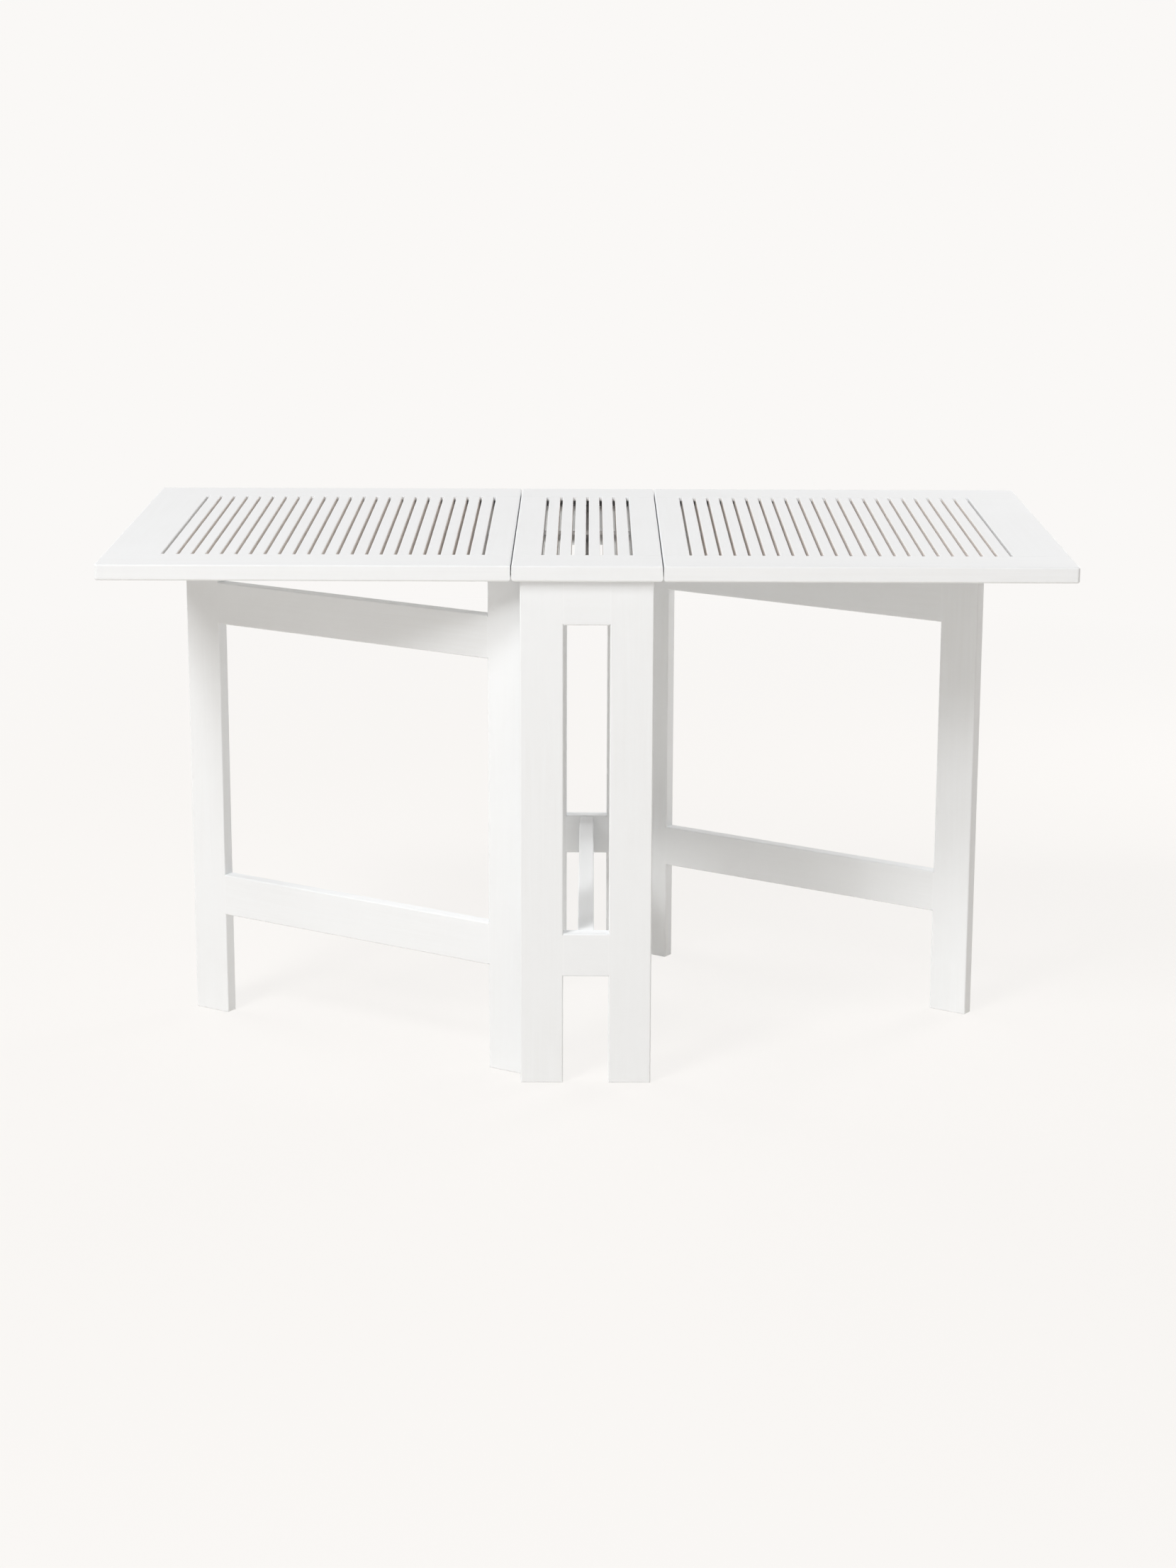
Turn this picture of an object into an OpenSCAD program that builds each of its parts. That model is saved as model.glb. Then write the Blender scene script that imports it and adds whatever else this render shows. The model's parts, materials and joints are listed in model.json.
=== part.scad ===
// Extending garden table: a narrow slatted centre top on two end frames, a slatted
// leaf hinged to each side of it, and two gates that swing out to carry the leaves.
// Lengths are millimetres. The origin lies on the floor under the middle of the top.
// X runs along the table, Y from the front to the back, and Z points up.
// The table looks the same after half a turn about Z, so each piece of the right
// leaf and gate is the left one turned half way round.

/* [Top] */
// Height of the top face above the floor
table_height = 720; // [660:1:780]
// Depth of the top from its front edge to its rear edge
table_depth = 700; // [640:1:780]
// Thickness of the top
top_thickness = 22; // [20:0.5:26]
// Width of the front and rear rails that close each top
top_rail_width = 85; // [60:1:110]
// Width of one slat
slat_width = 13.5; // [10:0.5:18]
// Width of the open slot between two slats
slot_width = 6; // [4:0.5:9]
// Slats in the centre top
centre_slats = 6; // [6:1:12]
// Slats in each leaf
leaf_slats = 22; // [20:1:26]
// Width of the two side boards of the centre top
centre_board_width = 38.5; // [32:0.5:60]
// Width of the leaf's board along the seam
inner_board_width = 36; // [30:0.5:60]
// Width of the leaf's board at the far end
end_board_width = 77.5; // [50:0.5:110]
// Open seam between the centre top and a leaf
seam_gap = 1.5; // [1.5:0.1:3]

/* [Edges of the top] */
// Plan radius of the leaf's outer corners
corner_radius = 4; // [4:0.5:16]
// Rounding of the upper edges
upper_edge_radius = 2.5; // [1:0.25:3]
// Rounding of the lower edges on the outside of the table
lower_edge_radius = 3; // [1:0.25:3.75]
// Rounding of the lower edges along the seams
seam_edge_radius = 5; // [2:0.5:5.5]
// Rounding of the slats' upper edges
slat_edge_radius = 1.2; // [0.5:0.1:2]
// Rounding of the upper edges where slats and boards meet the rails, seen as a fine line
joint_edge_radius = 0.8; // [0.3:0.1:1.5]

/* [Joinery of the top] */
// Thickness of the tongues on the slats and boards
tongue_thickness = 8; // [5:0.5:9]
// Wood left above the tongue
tongue_cover = 6; // [4:0.5:7]
// Length of the tongues
tongue_length = 12; // [8:0.5:18]
// Width of the batten housed across the slats' undersides
batten_width = 36; // [14:1:40]
// Depth of the batten
batten_depth = 10; // [8:0.5:15]
// How far the batten's ends are let into the boards
batten_housing = 12; // [6:1:18]

/* [End frames] */
// Set-back of the frame's outer face from the edge of the top
frame_setback = 10; // [4:0.5:20]
// Inset of the frame's side from the side of the centre top
frame_inset = 11; // [8:0.5:18]
// Thickness of the end frames
frame_thickness = 22; // [20:0.5:26]
// Width of the frame's stiles
frame_stile_width = 58; // [45:1:64]
// Height of the frame's rails
frame_rail_height = 60; // [50:1:75]
// Height of the lower rail's underside above the floor
frame_lower_rail_z = 152; // [100:1:220]

/* [Stretchers] */
// Thickness of the stretchers between the end frames
stretcher_thickness = 22; // [18:0.5:26]
// How much lower the stretchers' section is than the rails
stretcher_drop = 2; // [0:0.5:6]
// Radius of the dowels at the stretchers' ends
dowel_radius = 4; // [3:0.5:5]
// Distance between the two dowels of an end
dowel_spacing = 32; // [20:1:34]
// Depth of a dowel in the frame's rail
dowel_rail_depth = 15; // [10:0.5:18]
// Depth of a dowel in the stretcher
dowel_stretcher_depth = 25; // [15:1:40]

/* [Gates] */
// Room between the outer edge of a folded gate and the far end frame
gate_end_room = 48.4; // [20:0.1:90]
// Thickness of the gates
gate_thickness = 19; // [18:0.5:22]
// Width of the gate's two legs
gate_leg_width = 58; // [45:1:70]
// Height of the gate's rails
gate_rail_height = 60; // [46:1:75]
// Drop of the upper rail's top below the top of the gate's legs
gate_upper_rail_drop = 58; // [30:1:100]
// Height of the gate's lower rail above the floor
gate_lower_rail_z = 149; // [100:0.5:220]
// Swing of the left gate out of its folded place
left_gate_swing = 57.8; // [45:0.1:70]
// Swing of the right gate out of its folded place
right_gate_swing = 56.4; // [45:0.1:70]
// Gap between the gate's legs and the underside of the leaf
leaf_clearance = 0.3; // [0.3:0.1:2]

/* [Edges and joints of the legs] */
// Rounding of the long edges of stiles and legs
leg_edge_radius = 2; // [1:0.25:4]
// Rounding of the rails' and stretchers' long edges
rail_edge_radius = 2; // [1:0.25:4]
// Rounding under the feet
foot_radius = 1.5; // [1:0.25:5]
// Thickness of the tenons
tenon_thickness = 8; // [6:0.5:10]
// Length of the tenons
tenon_length = 26; // [15:1:36]
// Shoulder above and below each tenon
tenon_shoulder = 8; // [5:0.5:14]
// Room left at the bottom of a mortise, groove or dowel hole
glue_room = 0.5; // [0.2:0.1:1.5]

/* [Butt hinges] */
// Length of a hinge
hinge_length = 60; // [50:1:70]
// Width of a hinge leaf from the pin's axis
hinge_leaf_width = 22; // [18:0.5:22.5]
// Thickness of a hinge leaf
hinge_leaf_thickness = 2; // [1.5:0.1:2.5]
// Radius of the knuckles
knuckle_radius = 4.5; // [4:0.1:5]
// Knuckles of a hinge
knuckle_count = 5; // [3:2:7]
// Gap between neighbouring knuckles
knuckle_gap = 0.6; // [0.6:0.1:1]
// Gap between the knuckles and the wooden faces of the piece that they pass
knuckle_clearance = 0.3; // [0.3:0.1:0.6]
// Gap between the knuckles and the edge of the other hinge leaf
leaf_relief = 0.5; // [0.4:0.1:1]
// Radius of the pin
pin_radius = 2; // [1.5:0.1:2.5]
// Radial clearance of the pin in its knuckles
pin_clearance = 0.05; // [0.03:0.01:0.1]
// Radius of the pin's two flat heads
pin_head_radius = 3.2; // [2.8:0.1:3.8]
// Thickness of the pin's flat heads
pin_head_height = 1; // [0.6:0.1:2]
// Inset of a gate's pin from the side of its end frame
gate_pin_inset = 5.5; // [5.5:0.1:12]
// Distance of the gate's outer face from its pin's axis
gate_face_offset = 4.6; // [4.6:0.1:6]
// Height of the lower gate hinge's middle above the floor
lower_gate_hinge_z = 179; // [60:1:260]
// Drop of the upper gate hinge's middle below the top of the gate's legs
upper_gate_hinge_drop = 88; // [40:1:300]
// Room between a seam hinge and the place of a folded gate's outer leg
seam_hinge_room = 32; // [16:1:120]

/* [Screws and stops] */
// Screws in each hinge leaf
hinge_screws = 3; // [2:1:3]
// Distance between the screws of a hinge leaf
hinge_screw_spacing = 19; // [16:0.5:20]
// Distance of the hinge screws from the pin's axis
hinge_screw_line = 14; // [12:0.5:15]
// Head radius of the hinge screws
hinge_screw_head = 3.6; // [3:0.1:4]
// Shank radius of the hinge screws
hinge_screw_shank = 1.75; // [1.25:0.05:2]
// Length of the hinge screws
hinge_screw_length = 16; // [10:0.5:18]
// Distance of a long screw from the stile beside it
frame_screw_inset = 13; // [10:0.5:18]
// Head radius of the long screws and the stop screws
long_screw_head = 4.5; // [4:0.1:5.5]
// Shank radius of the long screws and the stop screws
long_screw_shank = 2.25; // [2:0.05:2.5]
// Depth of the counterbore for a long screw's head
counterbore_depth = 25; // [10:1:35]
// Room round a long screw's head in its counterbore
counterbore_room = 0.5; // [0.3:0.1:1]
// Bite of a long screw in the centre top
frame_screw_bite = 15; // [8:0.5:17]
// Bite of a stop screw in the leaf
stop_screw_bite = 14; // [8:0.5:16]
// Clearance round the screws and dowels in their holes
hole_clearance = 0.05; // [0.02:0.01:0.1]
// Length of a gate stop
stop_length = 70; // [50:1:80]
// Width of a gate stop
stop_width = 20; // [16:1:30]
// Height of a gate stop
stop_height = 18; // [12:0.5:24]
// Wood between the outer screw of a stop and the batten
stop_screw_room = 2; // [1:0.5:8]
// Gap between an open gate and its stop
stop_clearance = 0.3; // [0.3:0.1:2]

/* [Hidden] */
$fn = 64;

paint_colour = [0.93, 0.93, 0.91];
shade_colour = [0.84, 0.84, 0.82];
steel_colour = [0.72, 0.72, 0.70];
beech_colour = [0.80, 0.66, 0.48];

// How far a cutting shape runs past the face that it cuts
overcut = 1;

// The slat fields and the outlines of the three tops
slat_pitch = slat_width + slot_width;
centre_field = centre_slats * slat_pitch + slot_width;
leaf_field = leaf_slats * slat_pitch + slot_width;
centre_half = centre_field / 2 + centre_board_width;
leaf_width = inner_board_width + leaf_field + end_board_width;
seam_x = centre_half + seam_gap / 2;
leaf_inner_x = centre_half + seam_gap;
leaf_end_x = leaf_inner_x + leaf_width;
underside_z = table_height - top_thickness;
half_depth = table_depth / 2;
slat_span = table_depth - 2 * top_rail_width;
tongue_z = table_height - tongue_cover - tongue_thickness;

// The end frames
frame_half_width = centre_half - frame_inset;
frame_outer_y = half_depth - frame_setback;
frame_inner_y = frame_outer_y - frame_thickness;
frame_opening = 2 * (frame_half_width - frame_stile_width);
frame_top_rail_z = underside_z - frame_rail_height;

// The stretchers
stretcher_height = frame_rail_height - stretcher_drop;
top_stretcher_z = underside_z - stretcher_height;
lower_stretcher_z = frame_lower_rail_z;

// The hinges: a pin's axis lies this far from the two wooden faces that it joins
hinge_seat = knuckle_radius + knuckle_clearance;
knuckle_pitch = hinge_length / knuckle_count;
pin_length = hinge_length - knuckle_gap;
seam_pin_z = underside_z - hinge_seat;
gate_pin_x = frame_half_width - gate_pin_inset;
gate_pin_y = frame_inner_y - hinge_seat;

// The gates
gate_leg_height = underside_z - leaf_clearance;
gate_length = 2 * (frame_inner_y - hinge_seat) - gate_end_room;
gate_rail_length = gate_length - 2 * gate_leg_width;
gate_upper_rail_z = gate_leg_height - gate_upper_rail_drop - gate_rail_height;
outer_leg_x = hinge_seat + gate_length - gate_leg_width;
gate_hinge_heights = [lower_gate_hinge_z, gate_leg_height - upper_gate_hinge_drop];
seam_hinge_y = frame_inner_y - gate_end_room - gate_leg_width - seam_hinge_room - hinge_length / 2;

// The screws: length of the tapered tip, and the head's height as a share of its radius
screw_tip = 4;
head_slope = 0.55;
hinge_head_height = hinge_leaf_thickness;
long_head_height = long_screw_head * head_slope;
frame_screw_z = frame_top_rail_z + counterbore_depth;
frame_screw_length = frame_rail_height - counterbore_depth + frame_screw_bite;
stop_screw_length = stop_height + stop_screw_bite;

// Waste outside a rounded corner that points to the origin
module corner_waste(radius) {
  difference() {
    translate([-overcut, -overcut]) square(radius + overcut);
    translate([radius, radius]) circle(radius);
  }
}

// Rectangle with its own radius at each corner, anticlockwise from the origin
module soft_rectangle(size, radii) {
  difference() {
    square(size);
    if (radii[0] > 0) corner_waste(radii[0]);
    if (radii[1] > 0) translate([size[0], 0]) rotate(90) corner_waste(radii[1]);
    if (radii[2] > 0) translate(size) rotate(180) corner_waste(radii[2]);
    if (radii[3] > 0) translate([0, size[1]]) rotate(270) corner_waste(radii[3]);
  }
}

// Section drawn in Y and Z, drawn out along X from the given start
module along_x(start, length) {
  translate([start, 0, 0]) rotate([90, 0, 90]) linear_extrude(length) children();
}

// Section drawn in X and Z, drawn out along Y from the given start
module along_y(start, length) {
  translate([0, start + length, 0]) rotate([90, 0, 0]) linear_extrude(length) children();
}

module half_turn() {
  rotate([0, 0, 180]) children();
}

module front_to_rear() {
  mirror([0, 1, 0]) children();
}

// Screws and dowels. Each stands on the origin and points up.

function screw_outline(head, shank, head_height, length, grow) = [
  [0, -grow],
  [head + grow, -grow],
  [head + grow, 0],
  [shank + grow, head_height],
  [shank + grow, length - screw_tip],
  [shank / 3 + grow, length + grow],
  [0, length + grow]
];

// Countersunk screw with a crossed recess in its head
module screw(head, shank, head_height, length) {
  recess_width = shank / 2;
  recess_length = head;
  recess_depth = head_height * 2 / 3;
  difference() {
    rotate_extrude() polygon(screw_outline(head, shank, head_height, length, 0));
    for (turn = [0, 90])
      rotate([0, 0, turn])
        translate([-recess_length / 2, -recess_width / 2, -overcut])
          cube([recess_length, recess_width, recess_depth + overcut]);
  }
}

module screw_hole(head, shank, head_height, length) {
  rotate_extrude()
    polygon(screw_outline(head, shank, head_height, length, hole_clearance));
}

module dowel(length) {
  chamfer = dowel_radius / 4;
  rotate_extrude()
    polygon([
      [0, 0], [dowel_radius - chamfer, 0], [dowel_radius, chamfer],
      [dowel_radius, length - chamfer], [dowel_radius - chamfer, length], [0, length]
    ]);
}

// Butt hinge. Its pin lies on Z, the wooden face is parallel to X at y = -hinge_seat,
// and the leaf reaches towards +X. Leaf 0 carries the end knuckles and leaf 1 the others.

module hinge_screw_places() {
  for (i = [0 : hinge_screws - 1])
    translate([
      hinge_screw_line,
      hinge_leaf_thickness - hinge_seat,
      (i - (hinge_screws - 1) / 2) * hinge_screw_spacing
    ])
      rotate([90, 0, 0]) children();
}

module hinge_leaf(which) {
  difference() {
    union() {
      translate([0, -hinge_seat, -pin_length / 2])
        cube([hinge_leaf_width, hinge_leaf_thickness, pin_length]);
      for (i = [which : 2 : knuckle_count - 1])
        translate([0, 0, i * knuckle_pitch - pin_length / 2])
          cylinder(r = knuckle_radius, h = knuckle_pitch - knuckle_gap);
    }
    for (i = [1 - which : 2 : knuckle_count - 1])
      translate([-overcut, -hinge_seat - overcut, i * knuckle_pitch - (pin_length + knuckle_gap) / 2])
        cube([knuckle_radius + leaf_relief + overcut, hinge_seat + overcut, knuckle_pitch]);
    translate([0, 0, -hinge_length])
      cylinder(r = pin_radius + pin_clearance, h = 2 * hinge_length);
    hinge_screw_places() hinge_screw_hole();
  }
}

module hinge_pin() {
  for (side = [0, 1])
    mirror([0, 0, side])
      translate([0, 0, pin_length / 2]) cylinder(r = pin_head_radius, h = pin_head_height);
  translate([0, 0, -pin_length / 2]) cylinder(r = pin_radius, h = pin_length);
}

module hinge_screw() {
  screw(hinge_screw_head, hinge_screw_shank, hinge_head_height, hinge_screw_length);
}

module hinge_screw_hole() {
  screw_hole(hinge_screw_head, hinge_screw_shank, hinge_head_height, hinge_screw_length);
}

// Where the hinges stand. The second hinge leaf faces the first like its mirror image.

module left_seam_hinges() {
  for (side = [-1, 1])
    translate([-seam_x, side * seam_hinge_y, seam_pin_z])
      rotate([-90, 0, 0]) children();
}

module left_gate_hinge_axes() {
  for (height = gate_hinge_heights)
    translate([-gate_pin_x, -gate_pin_y, height]) children();
}

module on_left_leaf() {
  left_seam_hinges() mirror([1, 0, 0]) children();
}

// Gate frame of reference: the pin stands on the origin, the gate runs towards +X,
// its outer face looks towards +Y and its inner face towards -Y.
module at_left_gate(swing) {
  translate([-gate_pin_x, -gate_pin_y, 0]) rotate([0, 0, 90 + swing]) children();
}

module on_gate_edge() {
  for (height = gate_hinge_heights)
    translate([0, 0, height]) rotate([0, 0, -90]) mirror([0, 1, 0]) children();
}

// The three tops

module front_rail_section() {
  translate([-half_depth, underside_z])
    difference() {
      soft_rectangle(
        [top_rail_width, top_thickness],
        [lower_edge_radius, 0, joint_edge_radius, upper_edge_radius]
      );
      translate([top_rail_width - tongue_length - glue_room, tongue_z - underside_z])
        square([tongue_length + glue_room + overcut, tongue_thickness]);
    }
}

// Outline of a board or a whole top in X and Z. A seam edge is rounder underneath.
module top_section(start, width, left_radii, right_radii) {
  translate([start, underside_z])
    soft_rectangle(
      [width, top_thickness],
      [left_radii[0], right_radii[0], right_radii[1], left_radii[1]]
    );
}

seam_radii = [seam_edge_radius, upper_edge_radius];
outer_radii = [lower_edge_radius, upper_edge_radius];
slot_radii = [0, slat_edge_radius];

module centre_front_rail_solid() {
  intersection() {
    along_x(-centre_half, 2 * centre_half) front_rail_section();
    along_y(-half_depth, top_rail_width)
      top_section(-centre_half, 2 * centre_half, seam_radii, seam_radii);
  }
}

// Front rail of the left leaf, with its outer corner turned to a radius
module leaf_front_rail() {
  difference() {
    intersection() {
      along_x(-leaf_end_x, leaf_width) front_rail_section();
      along_y(-half_depth, top_rail_width)
        top_section(-leaf_end_x, leaf_width, outer_radii, seam_radii);
    }
    leaf_corner_block(overcut);
  }
  intersection() {
    leaf_corner_block(0);
    translate([corner_radius - leaf_end_x, corner_radius - half_depth, underside_z])
      rotate_extrude()
        soft_rectangle([corner_radius, top_thickness], [0, lower_edge_radius, upper_edge_radius, 0]);
  }
}

module leaf_corner_block(past) {
  translate([-leaf_end_x - past, -half_depth - past, underside_z - past])
    cube([corner_radius + past, corner_radius + past, top_thickness + 2 * past]);
}

// Space between the rails, with the upper edge at each end rounded
module between_rails() {
  along_x(-leaf_end_x, 2 * leaf_end_x)
    translate([-slat_span / 2, underside_z])
      soft_rectangle([slat_span, top_thickness], joint_edge_radius * [0, 0, 1, 1]);
}

// Board or slat between the rails, from its section in X and Z, with a tongue at each end
module tongued() {
  intersection() {
    along_y(-slat_span / 2, slat_span) children();
    between_rails();
  }
  intersection() {
    along_y(-slat_span / 2 - tongue_length, slat_span + 2 * tongue_length) children();
    translate([-leaf_end_x, -half_depth, tongue_z])
      cube([2 * leaf_end_x, table_depth, tongue_thickness]);
  }
}

// Batten let into the undersides of a slat field and of the boards beside it
module batten(start, length) {
  translate([start - batten_housing, -batten_width / 2, underside_z])
    cube([length + 2 * batten_housing, batten_width, batten_depth]);
}

module batten_notch(start, length) {
  translate([start - batten_housing, -batten_width / 2, underside_z - overcut])
    cube([length + 2 * batten_housing, batten_width, batten_depth + overcut]);
}

module slat_field(start, count) {
  difference() {
    for (i = [0 : count - 1])
      tongued()
        top_section(start + slot_width + i * slat_pitch, slat_width, slot_radii, slot_radii);
    batten_notch(start, count * slat_pitch + slot_width);
  }
}

module centre_left_board_solid() {
  difference() {
    tongued() top_section(-centre_half, centre_board_width, seam_radii, slot_radii);
    batten_notch(-centre_field / 2, centre_field);
    left_seam_hinges() hinge_screw_places() hinge_screw_hole();
  }
}

module leaf_inner_board() {
  difference() {
    tongued()
      top_section(-leaf_inner_x - inner_board_width, inner_board_width, slot_radii, seam_radii);
    leaf_batten_notch();
    on_left_leaf() hinge_screw_places() hinge_screw_hole();
  }
}

module leaf_end_board(swing) {
  difference() {
    tongued() top_section(-leaf_end_x, end_board_width, outer_radii, slot_radii);
    leaf_batten_notch();
    stop_screw_places(swing) stop_screw_hole();
  }
}

module leaf_slat_field(swing) {
  difference() {
    slat_field(end_board_width - leaf_end_x, leaf_slats);
    stop_screw_places(swing) stop_screw_hole();
  }
}

module leaf_batten_notch() {
  batten_notch(end_board_width - leaf_end_x, leaf_field);
}

// Stop under the left leaf, against the outer face of the open gate's outer leg.
// Its two screws go into the first two slats past the batten, and it is centred on them.

stop_y = stop_clearance - gate_face_offset;
stop_line_y = stop_y + stop_width / 2;
first_slat_x = end_board_width - leaf_end_x + slot_width + slat_width / 2;
stop_screw_limit_y = -batten_width / 2 - stop_screw_room - long_screw_shank;

// The stop's middle line runs through these two functions: the world X at which it
// reaches a world Y, and its distance from the gate's pin where it crosses a slat
function stop_line_x(world_y, swing) =
  -gate_pin_x - (world_y + gate_pin_y) * tan(swing) - stop_line_y / cos(swing);
function stop_line_at_slat(index, swing) =
  -(first_slat_x + index * slat_pitch + gate_pin_x + stop_line_y * cos(swing)) / sin(swing);

function outer_stop_slat(swing) =
  ceil((stop_line_x(stop_screw_limit_y, swing) - first_slat_x) / slat_pitch);
function stop_screw_x(i, swing) = stop_line_at_slat(outer_stop_slat(swing) + i, swing);

module stop_screw_places(swing) {
  for (i = [0, 1])
    at_left_gate(swing)
      translate([stop_screw_x(i, swing), stop_line_y, underside_z - stop_height]) children();
}

module stop_screw() {
  screw(long_screw_head, long_screw_shank, long_head_height, stop_screw_length);
}

module stop_screw_hole() {
  screw_hole(long_screw_head, long_screw_shank, long_head_height, stop_screw_length);
}

module leaf_stop(swing) {
  middle = (stop_screw_x(0, swing) + stop_screw_x(1, swing)) / 2;
  difference() {
    at_left_gate(swing)
      translate([middle - stop_length / 2, stop_y, underside_z - stop_height])
        linear_extrude(stop_height)
          soft_rectangle([stop_length, stop_width], [0, 0, leg_edge_radius, leg_edge_radius]);
    stop_screw_places(swing) stop_screw_hole();
  }
}

// Uprights and rails. Both start at the origin, run along X in width or length,
// and are as thick as given along Y.

// Heights between which a stile or leg lies flush with a rail: the rail's rounded edges
// stay outside them
function flush_range(z, height) = [z + rail_edge_radius, z + height - rail_edge_radius];

frame_joints = [
  flush_range(frame_lower_rail_z, frame_rail_height),
  [frame_top_rail_z + rail_edge_radius, underside_z]
];
gate_joints = [
  flush_range(gate_lower_rail_z, gate_rail_height),
  flush_range(gate_upper_rail_z, gate_rail_height)
];

// Stile or leg. Its long edges are rounded, but on the side of the rails, which is 0 or 1
// along X, they stay square at each joint.
module upright(width, thickness, height, top_radius, rail_side, joints) {
  intersection() {
    union() {
      linear_extrude(height)
        soft_rectangle([width, thickness], leg_edge_radius * [1, 1, 1, 1]);
      for (range = joints)
        translate([rail_side * width / 2, 0, range[0]])
          cube([width / 2, thickness, range[1] - range[0]]);
    }
    along_x(0, width)
      soft_rectangle([thickness, height], [foot_radius, foot_radius, top_radius, top_radius]);
    along_y(0, thickness)
      soft_rectangle([width, height], [foot_radius, foot_radius, top_radius, top_radius]);
  }
}

module tenoned_rail(length, thickness, height, upper_radius) {
  along_x(0, length)
    soft_rectangle(
      [thickness, height],
      [rail_edge_radius, rail_edge_radius, upper_radius, upper_radius]
    );
  translate([-tenon_length, (thickness - tenon_thickness) / 2, tenon_shoulder])
    cube([length + 2 * tenon_length, tenon_thickness, height - 2 * tenon_shoulder]);
}

// Mortises for a rail's two tenons, in the place of the rail itself
module mortises(length, thickness, height) {
  depth = tenon_length + glue_room;
  translate([-depth, (thickness - tenon_thickness) / 2, tenon_shoulder])
    cube([length + 2 * depth, tenon_thickness, height - 2 * tenon_shoulder]);
}

// End frames. The front one is modelled, and the rear one is its mirror image
// but for the gate hinge, which changes sides.

module at_front_frame(x, z) {
  translate([x, -frame_outer_y, z]) children();
}

module front_stile(x, rail_side) {
  difference() {
    at_front_frame(x, 0)
      upright(frame_stile_width, frame_thickness, underside_z, 0, rail_side, frame_joints);
    for (z = [frame_lower_rail_z, frame_top_rail_z])
      at_front_frame(-frame_opening / 2, z)
        mortises(frame_opening, frame_thickness, frame_rail_height);
  }
}

module front_hinge_stile() {
  difference() {
    front_stile(-frame_half_width, 1);
    left_gate_hinge_axes() hinge_screw_places() hinge_screw_hole();
  }
}

module front_plain_stile() {
  front_stile(frame_half_width - frame_stile_width, 0);
}

module front_top_rail_solid() {
  difference() {
    at_front_frame(-frame_opening / 2, frame_top_rail_z)
      tenoned_rail(frame_opening, frame_thickness, frame_rail_height, 0);
    front_screw_places() frame_screw_hole();
    front_screw_places() frame_counterbore();
    front_dowel_places(top_stretcher_z) dowel_hole();
  }
}

module front_lower_rail_solid() {
  difference() {
    at_front_frame(-frame_opening / 2, frame_lower_rail_z)
      tenoned_rail(frame_opening, frame_thickness, frame_rail_height, rail_edge_radius);
    front_dowel_places(lower_stretcher_z) dowel_hole();
  }
}

// Long screws that hold the centre top down on the end frames

module front_screw_places() {
  for (side = [-1, 1])
    translate([
      side * (frame_opening / 2 - frame_screw_inset),
      -(frame_outer_y + frame_inner_y) / 2,
      frame_screw_z
    ])
      children();
}

module frame_screw() {
  screw(long_screw_head, long_screw_shank, long_head_height, frame_screw_length);
}

module frame_screw_hole() {
  screw_hole(long_screw_head, long_screw_shank, long_head_height, frame_screw_length);
}

module frame_counterbore() {
  translate([0, 0, -counterbore_depth - overcut])
    cylinder(r = long_screw_head + counterbore_room, h = counterbore_depth + overcut);
}

// Stretchers and the dowels that hold them between the end frames

module stretcher(z) {
  difference() {
    along_y(-frame_inner_y, 2 * frame_inner_y)
      translate([-stretcher_thickness / 2, z])
        soft_rectangle([stretcher_thickness, stretcher_height], rail_edge_radius * [1, 1, 1, 1]);
    front_dowel_places(z) dowel_hole();
    front_to_rear() front_dowel_places(z) dowel_hole();
  }
}

module front_dowel_places(stretcher_z) {
  for (side = [-1, 1])
    translate([
      0,
      -frame_inner_y - dowel_rail_depth,
      stretcher_z + (stretcher_height + side * dowel_spacing) / 2
    ])
      rotate([-90, 0, 0]) children();
}

module stretcher_dowel() {
  dowel(dowel_rail_depth + dowel_stretcher_depth);
}

module dowel_hole() {
  translate([0, 0, -glue_room])
    cylinder(
      r = dowel_radius + hole_clearance,
      h = dowel_rail_depth + dowel_stretcher_depth + 2 * glue_room
    );
}

// Pieces of a gate in the gate's own frame of reference

module gate_rail_place(z) {
  translate([hinge_seat + gate_leg_width, -gate_face_offset - gate_thickness, z]) children();
}

module gate_leg(x, rail_side) {
  difference() {
    translate([x, -gate_face_offset - gate_thickness, 0])
      upright(gate_leg_width, gate_thickness, gate_leg_height, foot_radius, rail_side, gate_joints);
    for (z = [gate_lower_rail_z, gate_upper_rail_z])
      gate_rail_place(z) mortises(gate_rail_length, gate_thickness, gate_rail_height);
  }
}

module gate_hinge_stile() {
  difference() {
    gate_leg(hinge_seat, 1);
    on_gate_edge() hinge_screw_places() hinge_screw_hole();
  }
}

module gate_rail(z) {
  gate_rail_place(z)
    tenoned_rail(gate_rail_length, gate_thickness, gate_rail_height, rail_edge_radius);
}

// Nodes of the end frames and the centre top

module front_left_stile() {
  color(paint_colour) front_hinge_stile();
}

module front_right_stile() {
  color(paint_colour) front_plain_stile();
}

module front_top_rail() {
  color(paint_colour) front_top_rail_solid();
}

module front_lower_rail() {
  color(paint_colour) front_lower_rail_solid();
}

module rear_left_stile() {
  color(paint_colour) half_turn() front_plain_stile();
}

module rear_right_stile() {
  color(paint_colour) half_turn() front_hinge_stile();
}

module rear_top_rail() {
  color(paint_colour) half_turn() front_top_rail_solid();
}

module rear_lower_rail() {
  color(paint_colour) half_turn() front_lower_rail_solid();
}

module top_stretcher() {
  color(shade_colour) stretcher(top_stretcher_z);
}

module lower_stretcher() {
  color(shade_colour) stretcher(lower_stretcher_z);
}

module stretcher_dowels() {
  color(beech_colour)
    for (z = [top_stretcher_z, lower_stretcher_z]) {
      front_dowel_places(z) stretcher_dowel();
      front_to_rear() front_dowel_places(z) stretcher_dowel();
    }
}

module centre_front_rail() {
  color(paint_colour)
    difference() {
      centre_front_rail_solid();
      front_screw_places() frame_screw_hole();
    }
}

module centre_rear_rail() {
  half_turn() centre_front_rail();
}

module centre_left_board() {
  color(paint_colour) centre_left_board_solid();
}

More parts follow.
